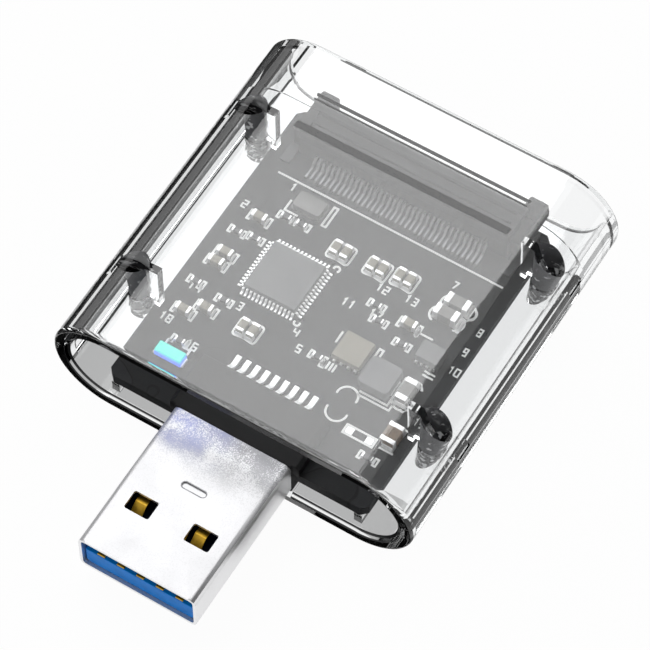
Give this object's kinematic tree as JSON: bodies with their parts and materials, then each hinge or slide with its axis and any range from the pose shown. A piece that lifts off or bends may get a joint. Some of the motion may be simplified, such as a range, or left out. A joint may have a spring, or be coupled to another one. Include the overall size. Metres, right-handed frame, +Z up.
{
  "type": "ssd enclosure",
  "caption": "Clear flat case with rounded sides and open ends, holding a black circuit board that joins a USB plug at the front to a drive-card socket at the far end.",
  "frame": {"origin": "middle of the case's flat underside, without the plug", "axes": "+Y from the plug end to the drive socket's mouth, +X to the right seen from the plug end with the case lying flat, +Z up from the underside"},
  "size_m": [0.037, 0.0515, 0.0114],
  "materials": {
    "clear_plastic": "polished clear moulding",
    "board_lacquer": "black solder lacquer, satin",
    "plug_steel": "bright plated folded sheet",
    "tongue_plastic": "blue moulding",
    "black_plastic": "black moulding, fine grain",
    "gold_plate": "gold plated",
    "tinned_metal": "tinned, slightly dull",
    "chip_resin": "dark moulded resin",
    "can_steel": "satin drawn can",
    "inductor_ferrite": "dark grey pressed ferrite",
    "pale_ceramic": "beige fired ceramic",
    "brown_ceramic": "brown fired ceramic",
    "grey_ceramic": "grey-brown fired ceramic",
    "light_resin": "clear resin, lit cyan",
    "resistor_glaze": "black glaze with pale ends"
  },
  "bodies": {
    "root": {"upper_shell": "clear_plastic", "lower_shell": "clear_plastic", "circuit_board": "board_lacquer", "usb_shell": "plug_steel", "usb_tongue": "tongue_plastic", "usb_rear_block": "black_plastic", "usb_power_contacts": "gold_plate", "usb_signal_contacts": "gold_plate", "usb_solder_tails": "tinned_metal", "ssd_socket": "black_plastic", "socket_upper_contacts": "tinned_metal", "socket_lower_contacts": "gold_plate", "socket_anchors": "tinned_metal", "bridge_chip": "chip_resin", "bridge_chip_leads": "tinned_metal", "crystal_can": "can_steel", "power_inductor": "inductor_ferrite", "memory_chip": "pale_ceramic", "regulator": "chip_resin", "storage_capacitor": "brown_ceramic", "indicator_light": "light_resin", "filter_capacitors": "grey_ceramic", "ceramic_capacitors": "pale_ceramic", "chip_resistors": "resistor_glaze"}
  },
  "joints": []
}
